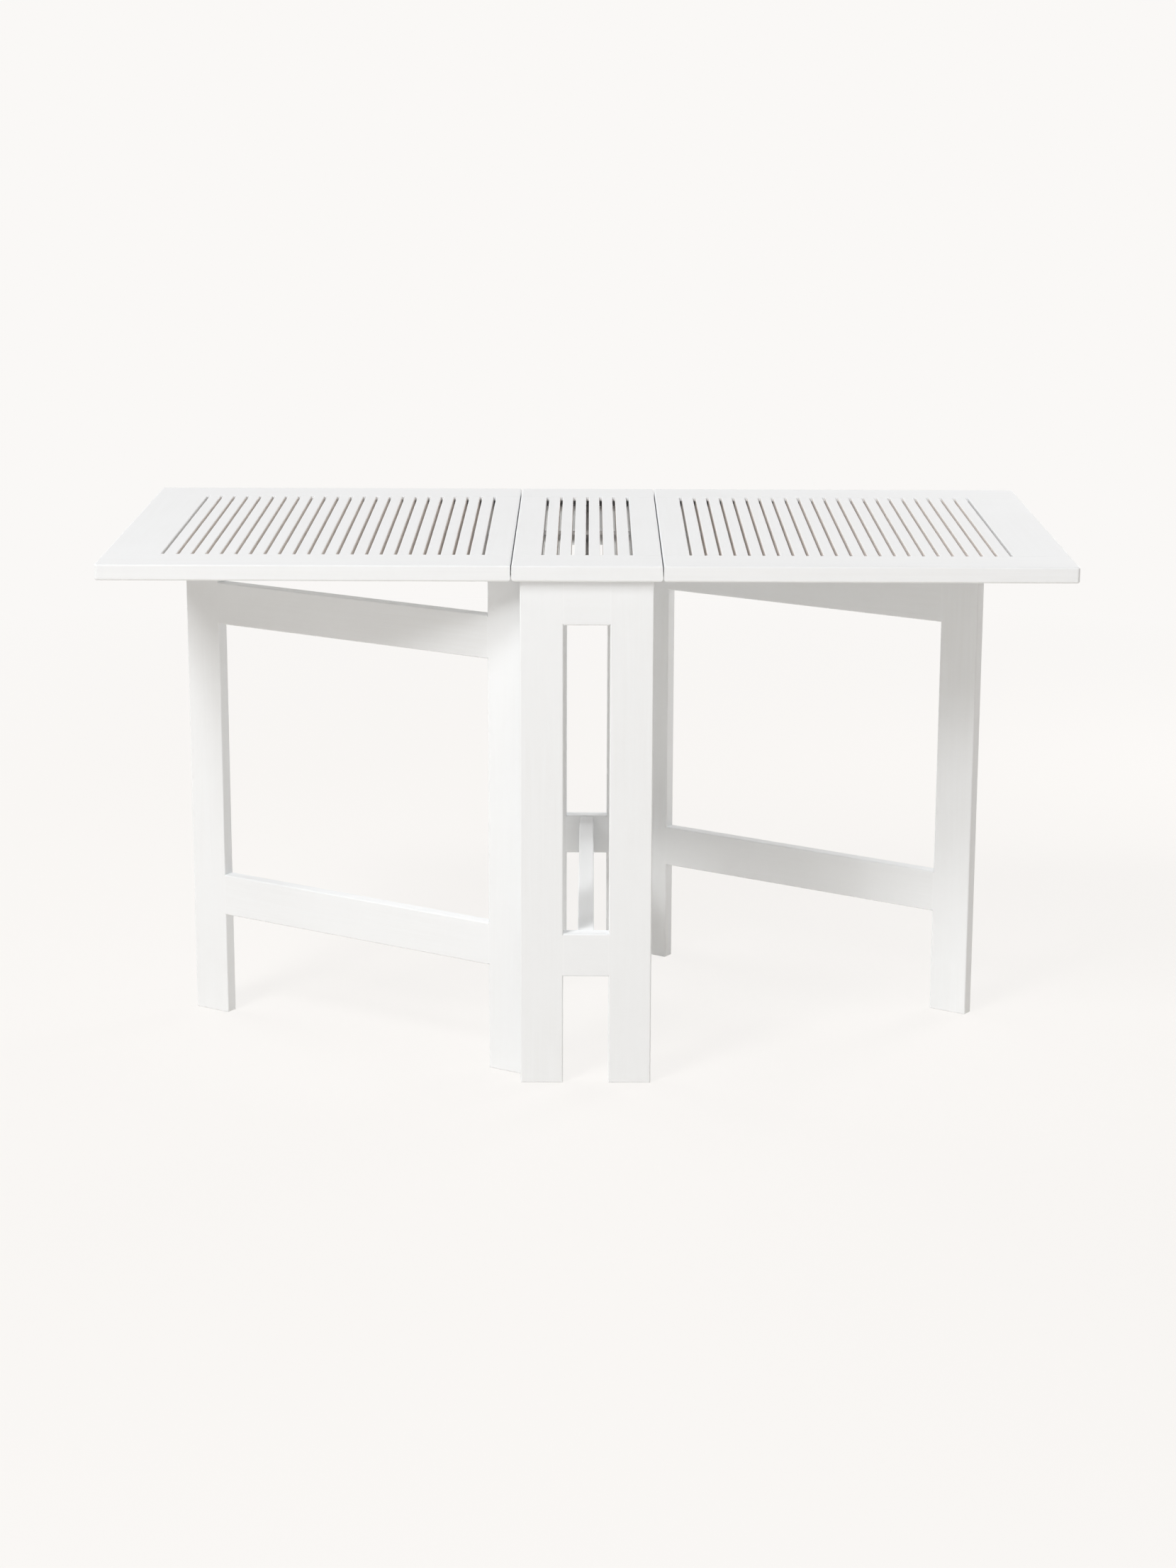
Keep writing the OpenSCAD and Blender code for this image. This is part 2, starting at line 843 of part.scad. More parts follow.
module centre_right_board() {
  color(paint_colour) half_turn() centre_left_board_solid();
}

module centre_slats_group() {
  color(paint_colour) slat_field(-centre_field / 2, centre_slats);
}

module centre_batten() {
  color(shade_colour) batten(-centre_field / 2, centre_field);
}

module centre_screws() {
  color(steel_colour) {
    front_screw_places() frame_screw();
    half_turn() front_screw_places() frame_screw();
  }
}

// Nodes of the hinges

module gate_hinge_frame_leaves() {
  color(steel_colour) {
    left_gate_hinge_axes() hinge_leaf(0);
    half_turn() left_gate_hinge_axes() hinge_leaf(0);
  }
}

module gate_hinge_pins() {
  color(steel_colour) {
    left_gate_hinge_axes() hinge_pin();
    half_turn() left_gate_hinge_axes() hinge_pin();
  }
}

module gate_hinge_frame_screws() {
  color(steel_colour) {
    left_gate_hinge_axes() hinge_screw_places() hinge_screw();
    half_turn() left_gate_hinge_axes() hinge_screw_places() hinge_screw();
  }
}

module seam_hinge_centre_leaves() {
  color(steel_colour) {
    left_seam_hinges() hinge_leaf(0);
    half_turn() left_seam_hinges() hinge_leaf(0);
  }
}

module seam_hinge_pins() {
  color(steel_colour) {
    left_seam_hinges() hinge_pin();
    half_turn() left_seam_hinges() hinge_pin();
  }
}

module seam_hinge_centre_screws() {
  color(steel_colour) {
    left_seam_hinges() hinge_screw_places() hinge_screw();
    half_turn() left_seam_hinges() hinge_screw_places() hinge_screw();
  }
}

// Nodes of the leaves

module leaf_rail_front() {
  color(paint_colour) leaf_front_rail();
}

module leaf_rail_rear() {
  color(paint_colour) front_to_rear() leaf_front_rail();
}

module leaf_board_inner() {
  color(paint_colour) leaf_inner_board();
}

module leaf_board_end(swing) {
  color(paint_colour) leaf_end_board(swing);
}

module leaf_slats_group(swing) {
  color(paint_colour) leaf_slat_field(swing);
}

module leaf_batten() {
  color(shade_colour) batten(end_board_width - leaf_end_x, leaf_field);
}

module leaf_stop_block(swing) {
  color(paint_colour) leaf_stop(swing);
}

module leaf_stop_screws(swing) {
  color(steel_colour) stop_screw_places(swing) stop_screw();
}

module leaf_hinges() {
  color(steel_colour) on_left_leaf() hinge_leaf(1);
}

module leaf_hinge_screws() {
  color(steel_colour) on_left_leaf() hinge_screw_places() hinge_screw();
}

// Nodes of the gates

module gate_stile(swing) {
  color(paint_colour) at_left_gate(swing) gate_hinge_stile();
}

module gate_outer_leg(swing) {
  color(paint_colour) at_left_gate(swing) gate_leg(outer_leg_x, 0);
}

module gate_upper_rail(swing) {
  color(paint_colour) at_left_gate(swing) gate_rail(gate_upper_rail_z);
}

module gate_lower_rail(swing) {
  color(paint_colour) at_left_gate(swing) gate_rail(gate_lower_rail_z);
}

module gate_hinges(swing) {
  color(steel_colour) at_left_gate(swing) on_gate_edge() hinge_leaf(1);
}

module gate_hinge_screws(swing) {
  color(steel_colour) at_left_gate(swing) on_gate_edge() hinge_screw_places() hinge_screw();
}

front_left_stile();
front_right_stile();
front_top_rail();
front_lower_rail();
rear_left_stile();
rear_right_stile();
rear_top_rail();
rear_lower_rail();
top_stretcher();
lower_stretcher();
stretcher_dowels();
centre_front_rail();
centre_rear_rail();
centre_left_board();
centre_right_board();
centre_slats_group();  // centre_slats
centre_batten();
centre_screws();
gate_hinge_frame_leaves();
gate_hinge_pins();
gate_hinge_frame_screws();
seam_hinge_centre_leaves();
seam_hinge_pins();
seam_hinge_centre_screws();
leaf_rail_front();  // left_leaf_front_rail
leaf_rail_rear();  // left_leaf_rear_rail
leaf_board_inner();  // left_leaf_inner_board
leaf_board_end(left_gate_swing);  // left_leaf_end_board
leaf_slats_group(left_gate_swing);  // left_leaf_slats
leaf_batten();  // left_leaf_batten
leaf_stop_block(left_gate_swing);  // left_leaf_stop
leaf_stop_screws(left_gate_swing);  // left_leaf_stop_screws
leaf_hinges();  // left_leaf_hinges
leaf_hinge_screws();  // left_leaf_hinge_screws
half_turn() leaf_rail_rear();  // right_leaf_front_rail
half_turn() leaf_rail_front();  // right_leaf_rear_rail
half_turn() leaf_board_inner();  // right_leaf_inner_board
half_turn() leaf_board_end(right_gate_swing);  // right_leaf_end_board
half_turn() leaf_slats_group(right_gate_swing);  // right_leaf_slats
half_turn() leaf_batten();  // right_leaf_batten
half_turn() leaf_stop_block(right_gate_swing);  // right_leaf_stop
half_turn() leaf_stop_screws(right_gate_swing);  // right_leaf_stop_screws
half_turn() leaf_hinges();  // right_leaf_hinges
half_turn() leaf_hinge_screws();  // right_leaf_hinge_screws
gate_stile(left_gate_swing);  // left_gate_hinge_stile
gate_outer_leg(left_gate_swing);  // left_gate_outer_leg
gate_upper_rail(left_gate_swing);  // left_gate_upper_rail
gate_lower_rail(left_gate_swing);  // left_gate_lower_rail
gate_hinges(left_gate_swing);  // left_gate_hinges
gate_hinge_screws(left_gate_swing);  // left_gate_hinge_screws
half_turn() gate_stile(right_gate_swing);  // right_gate_hinge_stile
half_turn() gate_outer_leg(right_gate_swing);  // right_gate_outer_leg
half_turn() gate_upper_rail(right_gate_swing);  // right_gate_upper_rail
half_turn() gate_lower_rail(right_gate_swing);  // right_gate_lower_rail
half_turn() gate_hinges(right_gate_swing);  // right_gate_hinges
half_turn() gate_hinge_screws(right_gate_swing);  // right_gate_hinge_screws
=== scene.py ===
# %% [markdown]
# # A white gateleg garden table
#
# The table is a narrow slatted centre on two end frames. A slatted leaf hangs on hinges at
# each side of it, and two gates swing out from under the centre to carry the leaves. All of
# it is softwood under satin white outdoor paint, on zinc-plated hinges and screws.
#
# The solids are already made, at their real size, so this lesson is about finish and light.
# It loads the pieces, stands a camera where the photographer stood, mixes a paint, a plating
# and a bare wood out of a few shared effects, and lights them like a studio product shot.

# %% Load the solids
import json
from math import copysign, cos, pi, radians, sin, tan

import bpy
from mathutils import Matrix, Vector


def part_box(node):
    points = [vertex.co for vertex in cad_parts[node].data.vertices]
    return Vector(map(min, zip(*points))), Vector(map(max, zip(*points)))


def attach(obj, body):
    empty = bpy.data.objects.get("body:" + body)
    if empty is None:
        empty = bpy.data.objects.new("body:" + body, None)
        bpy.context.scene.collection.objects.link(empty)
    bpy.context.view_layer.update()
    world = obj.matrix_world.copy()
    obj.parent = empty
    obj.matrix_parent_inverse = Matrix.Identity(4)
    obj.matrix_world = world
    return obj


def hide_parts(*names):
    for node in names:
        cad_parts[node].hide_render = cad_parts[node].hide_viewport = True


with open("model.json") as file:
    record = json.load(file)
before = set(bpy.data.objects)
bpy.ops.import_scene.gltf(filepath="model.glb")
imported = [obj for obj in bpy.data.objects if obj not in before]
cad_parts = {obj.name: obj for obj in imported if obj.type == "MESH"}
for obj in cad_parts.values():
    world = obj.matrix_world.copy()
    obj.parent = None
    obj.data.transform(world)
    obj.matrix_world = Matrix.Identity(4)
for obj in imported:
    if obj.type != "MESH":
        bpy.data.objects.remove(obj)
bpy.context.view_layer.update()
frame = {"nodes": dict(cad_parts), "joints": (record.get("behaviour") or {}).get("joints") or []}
nodes = frame["nodes"]

# %% [markdown]
# ## Camera
#
# The photograph is a long-lens picture, taken from 4.5 m in front of the table and from a
# little above eye level of someone sitting. One could judge such a place by eye, but a white
# table on white shows every error along its outline. So the place was worked out instead,
# from where the corners of the top, the rails and the feet fall in the picture. The lens
# looks straight through the middle of the frame, so it needs no shift.

# %% Camera
PICTURE_HEIGHT = 2212
FOCAL_PIXELS = 4472.5
SENSOR_HEIGHT_MM = 36.0
CAMERA_PLACE = Vector((0.0034, -4.4743, 1.4236))
PITCH_DOWN, TURN_RIGHT, ROLL = radians(13.619), radians(-0.017), radians(0.189)

lens = bpy.data.cameras.new("camera")
lens.sensor_fit = "VERTICAL"
lens.sensor_height = SENSOR_HEIGHT_MM
lens.lens = SENSOR_HEIGHT_MM * FOCAL_PIXELS / PICTURE_HEIGHT
camera = bpy.data.objects.new("camera", lens)
bpy.context.scene.collection.objects.link(camera)
camera.matrix_world = (
    Matrix.Translation(CAMERA_PLACE)
    @ Matrix.Rotation(-TURN_RIGHT, 4, "Z")
    @ Matrix.Rotation(radians(90) - PITCH_DOWN, 4, "X")
    @ Matrix.Rotation(ROLL, 4, "Z")
)
bpy.context.scene.camera = camera
print("lens", round(lens.lens, 2), "mm at", tuple(round(part, 3) for part in CAMERA_PLACE))

# %% [markdown]
# ## Small helpers for node trees
#
# A material is a tree of nodes. One helper adds a node and sets its sockets, and the others
# are short words for what every tree here needs: arithmetic on numbers, arithmetic on
# vectors, a change of span, a colour between two others, and noise.


# %% Node helpers
def add(tree, kind, sockets=None, **settings):
    """New node. Settings are its own properties, and sockets are values or links."""
    made = tree.nodes.new(kind)
    for name, value in settings.items():
        setattr(made, name, value)
    for name, value in (sockets or {}).items():
        if isinstance(value, bpy.types.NodeSocket):
            tree.links.new(value, made.inputs[name])
        else:
            made.inputs[name].default_value = value
    return made


def arithmetic(tree, operation, first, second=0.0):
    """Result of one operation on two numbers or sockets."""
    return add(tree, "ShaderNodeMath", {0: first, 1: second}, operation=operation).outputs[0]


def vectors(tree, operation, first, second=(0.0, 0.0, 0.0)):
    """Outputs of one operation on two vectors: Vector, and Value where it gives a number."""
    sockets = {0: first, 1: second}
    return add(tree, "ShaderNodeVectorMath", sockets, operation=operation).outputs


def spread(tree, value, low, high, new_low=0.0, new_high=1.0):
    """Value moved from one span to another, and held inside the new one."""
    sockets = {
        "Value": value,
        "From Min": low,
        "From Max": high,
        "To Min": new_low,
        "To Max": new_high,
    }
    return add(tree, "ShaderNodeMapRange", sockets).outputs[0]


def blended(tree, amount, first, second):
    """Colour between two others. The node keeps its colours in sockets 6 and 7."""
    sockets = {0: amount, 6: first, 7: second}
    return add(tree, "ShaderNodeMix", sockets, data_type="RGBA").outputs[2]


def noise(tree, where, scale, detail, roughness, distortion=0.0):
    """Noise between 0 and 1, mostly near its middle, with so many waves per metre."""
    sockets = {
        "Vector": where,
        "Scale": scale,
        "Detail": detail,
        "Roughness": roughness,
        "Distortion": distortion,
    }
    return add(tree, "ShaderNodeTexNoise", sockets).outputs["Fac"]


print("node helpers ready")

# %% [markdown]
# ## Small helpers for effects and materials
#
# An effect that several materials share is a group: a tree with inputs and outputs of its
# own. One helper starts a group and one uses it. Two more are for the materials: one makes
# an empty material, and one turns a relief in metres into a bump on its shader.


# %% Group and material helpers
NUMBER, VECTOR = "NodeSocketFloat", "NodeSocketVector"


def start_group(name, inputs, outputs):
    """Empty node group. Returns its tree, its input sockets and a way to end it."""
    tree = bpy.data.node_groups.new(name, "ShaderNodeTree")
    for label, kind, start in inputs:
        socket = tree.interface.new_socket(label, in_out="INPUT", socket_type=kind)
        if start is not None:
            socket.default_value = start
    for label, kind in outputs:
        tree.interface.new_socket(label, in_out="OUTPUT", socket_type=kind)
    given = tree.nodes.new("NodeGroupInput").outputs
    end = tree.nodes.new("NodeGroupOutput")

    def finish(**results):
        for label, socket in results.items():
            tree.links.new(socket, end.inputs[label])
        return tree

    return tree, given, finish


def group(tree, shared, sockets=None):
    """Outputs of a shared effect, used with these inputs."""
    return add(tree, "ShaderNodeGroup", sockets, node_tree=shared).outputs


def start_material(name):
    """Plain material, with its tree and its shader."""
    made = bpy.data.materials.new(name)
    made.use_nodes = True
    return made, made.node_tree, made.node_tree.nodes["Principled BSDF"]


def raise_surface(tree, shader, height):
    """Bump whose height is in metres."""
    bump = add(tree, "ShaderNodeBump", {"Height": height, "Strength": 1.0, "Distance": 1.0})
    tree.links.new(bump.outputs[0], shader.inputs["Normal"])


print("group and material helpers ready")

# %% [markdown]
# ## Effect: coordinates along the wood
#
# Grain and brush marks run the length of a board, and no two boards look the same. A
# picture of wood would need unwrapping and would repeat. Here each board reads its own
# object coordinates instead. They are turned so that X runs along the board, and moved by
# a number of its own. The slats of a top are one mesh, so there the number also counts
# how many slat pitches a point lies from where the slats begin.

# %% Effect: coordinates along the wood
SLAT_APART, BOARD_APART = 0.37, 7.0


def build_board_coordinates():
    tree, given, finish = start_group(
        "board_coordinates",
        [
            ("Point", VECTOR, None),
            ("Turn", VECTOR, None),
            ("Board", NUMBER, 0.0),
            ("Slat Pitch", NUMBER, 1.0),
            ("Slat Start", NUMBER, 0.0),
        ],
        [("Vector", VECTOR)],
    )
    split = add(tree, "ShaderNodeSeparateXYZ", {0: given["Point"]})
    from_start = arithmetic(tree, "SUBTRACT", split.outputs["X"], given["Slat Start"])
    pitches = arithmetic(tree, "DIVIDE", from_start, given["Slat Pitch"])
    slat = arithmetic(tree, "FLOOR", pitches)
    apart = arithmetic(tree, "MULTIPLY", slat, SLAT_APART)
    board_apart = arithmetic(tree, "MULTIPLY", given["Board"], BOARD_APART)
    own = arithmetic(tree, "ADD", apart, board_apart)
    turned = add(
        tree,
        "ShaderNodeVectorRotate",
        {"Vector": given["Point"], "Rotation": given["Turn"]},
        rotation_type="EULER_XYZ",
    )
    move = add(tree, "ShaderNodeCombineXYZ", {"X": own, "Y": own, "Z": own})
    moved = vectors(tree, "ADD", turned.outputs[0], move.outputs[0])
    return finish(Vector=moved["Vector"])


board_coordinates = build_board_coordinates()
print("group", board_coordinates.name)

# %% [markdown]
# ## Effect: grain under the paint
#
# Softwood moves after it is painted. The hard late wood of each year stands a few
# hundredths of a millimetre proud, and the film shows it as long, faint, wavy lines. Noise
# that is stretched along the board gives such lines. A second, slower noise clouds them,
# because no board is the same all along its length.

# %% Effect: grain under the paint
GRAIN_STRETCH = (0.035, 1.0, 1.0)
CLOUDS_PER_METRE = 6.0
GRAIN_SPAN = (0.3, 0.7)


def build_wood_grain():
    tree, given, finish = start_group(
        "wood_grain",
        [("Vector", VECTOR, None), ("Lines per Metre", NUMBER, 160.0)],
        [("Lines", NUMBER), ("Cloud", NUMBER)],
    )
    stretched = vectors(tree, "MULTIPLY", given["Vector"], GRAIN_STRETCH)["Vector"]
    per_metre = given["Lines per Metre"]
    lines = noise(tree, stretched, per_metre, detail=3.0, roughness=0.55, distortion=0.6)
    cloud = noise(tree, given["Vector"], CLOUDS_PER_METRE, detail=2.0, roughness=0.5)
    return finish(
        Lines=spread(tree, lines, *GRAIN_SPAN),
        Cloud=spread(tree, cloud, *GRAIN_SPAN),
    )


wood_grain = build_wood_grain()
print("group", wood_grain.name)

# %% [markdown]
# ## Effect: strokes of a tool
#
# A brush leaves fine ridges in paint, and a die or an abrasive leaves fine lines in steel.
# Both are the same thing at another scale: very long, very narrow streaks. Stretched noise
# makes them, and the stretch and the number of streaks are left to each material.

# %% Effect: strokes of a tool
STROKE_SPAN = (0.25, 0.75)


def build_tool_strokes():
    tree, given, finish = start_group(
        "tool_strokes",
        [
            ("Vector", VECTOR, None),
            ("Strokes per Metre", NUMBER, 900.0),
            ("Length Share", NUMBER, 0.01),
        ],
        [("Ridges", NUMBER)],
    )
    share = {"X": given["Length Share"], "Y": 1.0, "Z": 1.0}
    stretch = add(tree, "ShaderNodeCombineXYZ", share).outputs[0]
    stretched = vectors(tree, "MULTIPLY", given["Vector"], stretch)["Vector"]
    streaks = noise(tree, stretched, given["Strokes per Metre"], detail=2.0, roughness=0.6)
    return finish(Ridges=spread(tree, streaks, *STROKE_SPAN))


tool_strokes = build_tool_strokes()
print("group", tool_strokes.name)

# %% [markdown]
# ## Effect: eased edges
#
# Paint is thickest and shiniest just beside an edge, because a brush is drawn off there,
# and hands polish it. The Bevel node rounds the normal near an edge. Where it departs from
# the true normal there is an edge, so one minus their dot product is a mask that needs no
# extra vertices. The paint and the zinc also lighten their colour with this mask, which is
# a painted highlight.

# %% Effect: eased edges
EDGE_RADIUS_M = 0.0018
BEVEL_SAMPLES = 4


def build_eased_edges():
    tree, given, finish = start_group(
        "eased_edges",
        [("Strength", NUMBER, 3.0)],
        [("Mask", NUMBER)],
    )
    rounded = add(tree, "ShaderNodeBevel", {"Radius": EDGE_RADIUS_M}, samples=BEVEL_SAMPLES)
    true = add(tree, "ShaderNodeNewGeometry").outputs["Normal"]
    same = vectors(tree, "DOT_PRODUCT", rounded.outputs[0], true)["Value"]
    apart = arithmetic(tree, "SUBTRACT", 1.0, same)
    strong = arithmetic(tree, "MULTIPLY", apart, given["Strength"])
    return finish(Mask=spread(tree, strong, 0.0, 1.0))


eased_edges = build_eased_edges()
print("group", eased_edges.name)

# %% [markdown]
# ## Effect: walls of a slot
#
# The walls of a slot of a few millimetres lie in shade, and this mask lets the slats' paint
# turn darker and warmer there, which is painted shade. All slots run from front to back, so
# a wall of a slat is whatever faces left or right. The X of the surface's own normal tells
# that, whichever way it points. A rounded edge turns into the wall by degrees.

# %% Effect: walls of a slot
EDGE_BEGINS, WALL_BEGINS = 0.7, 0.95


def build_facing_sideways():
    tree, given, finish = start_group(
        "facing_sideways",
        [("Start", NUMBER, EDGE_BEGINS)],
        [("Mask", NUMBER)],
    )
    normal = add(tree, "ShaderNodeTexCoord").outputs["Normal"]
    split = add(tree, "ShaderNodeSeparateXYZ", {0: normal})
    sideways = arithmetic(tree, "ABSOLUTE", split.outputs["X"])
    return finish(Mask=spread(tree, sideways, given["Start"], WALL_BEGINS))


facing_sideways = build_facing_sideways()
print("group", facing_sideways.name)

# %% [markdown]
# ## Finish: satin white paint
#
# Outdoor paint on this table is a cool white, satin rather than gloss. A clean colour with
# one roughness looks like plastic. Three slight things make it paint on wood: grain and
# brush ridges in the bump, a roughness that wanders with them, and a tone that is a hair
# darker in the open. Along the edges the colour is lighter as well, which is a painted
# highlight. Each board gets the same recipe with its own turn, so the material is a function
# of the direction in which the board runs. The slats' own paint also knows where they begin,
# and has painted shade, darker and warmer, on the walls of the slots.

# %% Finish: satin white paint
PAINT = (0.849, 0.870, 0.888, 1.0)
PAINT_THIN = (0.823, 0.840, 0.852, 1.0)
# Lighter colour along the edges: a painted highlight.
PAINT_EDGE_HIGHLIGHT = (0.880, 0.900, 0.915, 1.0)
# Darker, warmer colour for the walls of the slots: painted shade.
SLOT_WALL_PAINTED_SHADE = (0.84, 0.80, 0.77, 1.0)
PAINT_ROUGHNESS = (0.34, 0.46)
PAINT_IOR = 1.48
PAINT_EDGE_STRENGTH = 3.0
THIN_SHARE = 0.8
WANDER_REACH = 0.6
GRAIN_LINES_PER_METRE, GRAIN_RELIEF_M = 160.0, 0.00006
BRUSH_STROKES_PER_METRE, BRUSH_RELIEF_M = 900.0, 0.00003
BRUSH_LENGTH_SHARE = 0.012

# A pitch far longer than the table counts every point of a single board alike.
SINGLE_BOARD = {"Slat Pitch": 1000.0, "Slat Start": -500.0}


def paint(name, turn, slats=SINGLE_BOARD):
    made, tree, shader = start_material(name)
    where = add(tree, "ShaderNodeTexCoord").outputs["Object"]
    board = add(tree, "ShaderNodeObjectInfo").outputs["Random"]
    place = {"Point": where, "Turn": turn, "Board": board, **slats}
    along = group(tree, board_coordinates, place)["Vector"]
    grain = group(
        tree,
        wood_grain,
        {"Vector": along, "Lines per Metre": GRAIN_LINES_PER_METRE},
    )
    brush = group(
        tree,
        tool_strokes,
        {
            "Vector": along,
            "Strokes per Metre": BRUSH_STROKES_PER_METRE,
            "Length Share": BRUSH_LENGTH_SHARE,
        },
    )["Ridges"]
    edge = group(tree, eased_edges, {"Strength": PAINT_EDGE_STRENGTH})["Mask"]

    open_tone = arithmetic(tree, "MULTIPLY", grain["Lines"], grain["Cloud"])
    thin = arithmetic(tree, "MULTIPLY", open_tone, THIN_SHARE)
    film = blended(tree, thin, PAINT, PAINT_THIN)
    # The colour turns lighter along the edges: a painted highlight.
    colour = blended(tree, edge, film, PAINT_EDGE_HIGHLIGHT)
    # The slats' walls turn darker and warmer: painted shade.
    if slats is not SINGLE_BOARD:
        wall = group(tree, facing_sideways)["Mask"]
        colour = blended(tree, wall, colour, SLOT_WALL_PAINTED_SHADE)
    tree.links.new(colour, shader.inputs["Base Color"])

    brushed = arithmetic(tree, "MULTIPLY", brush, grain["Cloud"])
    wander = arithmetic(tree, "SUBTRACT", brushed, edge)
    rough = spread(tree, wander, -WANDER_REACH, WANDER_REACH, *PAINT_ROUGHNESS)
    tree.links.new(rough, shader.inputs["Roughness"])

    relief = arithmetic(tree, "MULTIPLY", grain["Lines"], GRAIN_RELIEF_M)
    ridges = arithmetic(tree, "MULTIPLY", brush, BRUSH_RELIEF_M)
    raise_surface(tree, shader, arithmetic(tree, "ADD", relief, ridges))
    shader.inputs["IOR"].default_value = PAINT_IOR
    return made


print("paint", PAINT[:3], "roughness", PAINT_ROUGHNESS)

# %% [markdown]
# ## Which way each board runs
#
# The rails of the tops and of the end frames run along the table, and so do the battens.
# The boards, slats and stretchers run from front to back, and legs and stiles stand up.
# The rails of the gates lie at the angle at which the gate stands open. That angle is the
# reach of the gate's own hinge, counted from its folded place, so it is read from there.

# %% Which way each board runs
ALONG_X = (0.0, 0.0, 0.0)
ALONG_Y = (0.0, 0.0, radians(-90))
UPRIGHT = (0.0, radians(90), 0.0)

joints = {joint["name"]: joint for joint in frame["joints"]}


def open_gate_turn(joint_name):
    """Turn that brings the rails of an open gate onto X."""
    swing = abs(joints[joint_name]["range_deg"][0])
    return (0.0, 0.0, -radians(90 + swing))


paint_along_x = paint("paint_along_x", ALONG_X)
paint_along_y = paint("paint_along_y", ALONG_Y)
paint_upright = paint("paint_upright", UPRIGHT)
paint_left_gate_rail = paint("paint_left_gate_rail", open_gate_turn("left_gate_swing"))
paint_right_gate_rail = paint("paint_right_gate_rail", open_gate_turn("right_gate_swing"))
for gate_swing in ("left_gate_swing", "right_gate_swing"):
    print(gate_swing, "from", joints[gate_swing]["range_deg"][0], "degrees to open")

# %% [markdown]
# ## Where the slats begin
#
# The slats of a top are equal and evenly spaced, and are one piece of the model. Their
# pitch cuts that piece into slats again, as long as the count begins in the middle of the
# slot beside the first one. Numbers kept in the mesh would do it too, but the solids stay
# as they are. Each field of slats gets a paint that knows this place.

# %% Where the slats begin
SLAT_PITCH_M = 0.0195
HALF_SLOT_M = 0.003
SLAT_FIELDS = {
    "centre_slats": "frame",
    "left_leaf_slats": "left_leaf",
    "right_leaf_slats": "right_leaf",
}


def slat_count(field):
    """Where the count of a field's slats begins, and how many there are."""
    low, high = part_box(field)
    start = low.x - HALF_SLOT_M
    return start, round((high.x - start) / SLAT_PITCH_M)


paint_slats = {}
for field in SLAT_FIELDS:
    start, count = slat_count(field)
    slats = {"Slat Pitch": SLAT_PITCH_M, "Slat Start": start}
    paint_slats[field] = paint("paint_" + field, ALONG_Y, slats)
    print(field, "counts from x =", round(start, 4), "slats", count)

# %% [markdown]
# ## Finish: zinc plating
#
# Hinges and screws for outdoor furniture are bright zinc. Fresh zinc is a cool, soft
# metal with a patchy sheen, because the passivation dries in clouds. Along the edges its
# tone is made lighter as well, a painted highlight. The sheet was rolled and the pin drawn,
# so both carry fine lines. The three steels differ in colour, in how rough they are and in
# how strongly the lines show, and share everything else.

# %% Finish: zinc plating
ZINC_CLOUDS_PER_METRE = 240.0
ZINC_LINES_PER_METRE, ZINC_LENGTH_SHARE = 4000.0, 0.03
ZINC_EDGE_STRENGTH = 4.0
ZINC_DULL, ZINC_BRIGHT = 0.82, 1.12
ZINC_SMOOTHER, ZINC_ROUGHER = 0.08, 0.1
ZINC_CLOUD_SPAN, ZINC_SPOT_SPAN, ZINC_CLOUD_AND_HIGHLIGHT_TOP = (0.35, 0.65), (0.3, 0.7), 1.4


def zinc(name, colour, roughness, line_relief):
    made, tree, shader = start_material(name)
    where = add(tree, "ShaderNodeTexCoord").outputs["Object"]
    cloud = noise(tree, where, ZINC_CLOUDS_PER_METRE, detail=3.0, roughness=0.6)
    lines = group(
        tree,
        tool_strokes,
        {
            "Vector": where,
            "Strokes per Metre": ZINC_LINES_PER_METRE,
            "Length Share": ZINC_LENGTH_SHARE,
        },
    )["Ridges"]
    edge = group(tree, eased_edges, {"Strength": ZINC_EDGE_STRENGTH})["Mask"]
    dull = tuple(ZINC_DULL * part for part in colour) + (1.0,)
    bright = tuple(min(1.0, ZINC_BRIGHT * part) for part in colour) + (1.0,)
    # The clouds are the zinc's own patchy tone; the edge mask adds a painted highlight on top.
    clouds_and_edge_highlight = arithmetic(tree, "ADD", spread(tree, cloud, *ZINC_CLOUD_SPAN), edge)
    tone = blended(tree, spread(tree, clouds_and_edge_highlight, 0.0, ZINC_CLOUD_AND_HIGHLIGHT_TOP), dull, bright)
    tree.links.new(tone, shader.inputs["Base Color"])
    smooth, rough = roughness - ZINC_SMOOTHER, roughness + ZINC_ROUGHER
    spots = spread(tree, cloud, *ZINC_SPOT_SPAN, smooth, rough)
    tree.links.new(spots, shader.inputs["Roughness"])
    raise_surface(tree, shader, arithmetic(tree, "MULTIPLY", lines, line_relief))
    shader.inputs["Metallic"].default_value = 1.0
    return made


hinge_zinc = zinc("hinge_zinc", (0.62, 0.63, 0.63), roughness=0.38, line_relief=0.000006)
pin_zinc = zinc("pin_zinc", (0.58, 0.58, 0.57), roughness=0.28, line_relief=0.000004)
screw_zinc = zinc("screw_zinc", (0.66, 0.66, 0.64), roughness=0.32, line_relief=0.000004)
print("steels", hinge_zinc.name, pin_zinc.name, screw_zinc.name)

# %% [markdown]
# ## Finish: bare beech
#
# The dowels in the stretchers are beech. It is a close wood, pinkish brown, whose only
# marking is a scatter of short dark flecks. The same grain effect with many more lines and
# a warm pair of colours gives it.

# %% Finish: bare beech
BEECH_FLECK, BEECH_WOOD = (0.40, 0.24, 0.13, 1.0), (0.62, 0.42, 0.26, 1.0)
BEECH_ROUGHNESS = (0.75, 0.6)
BEECH_LINES_PER_METRE, BEECH_RELIEF_M = 900.0, 0.00003


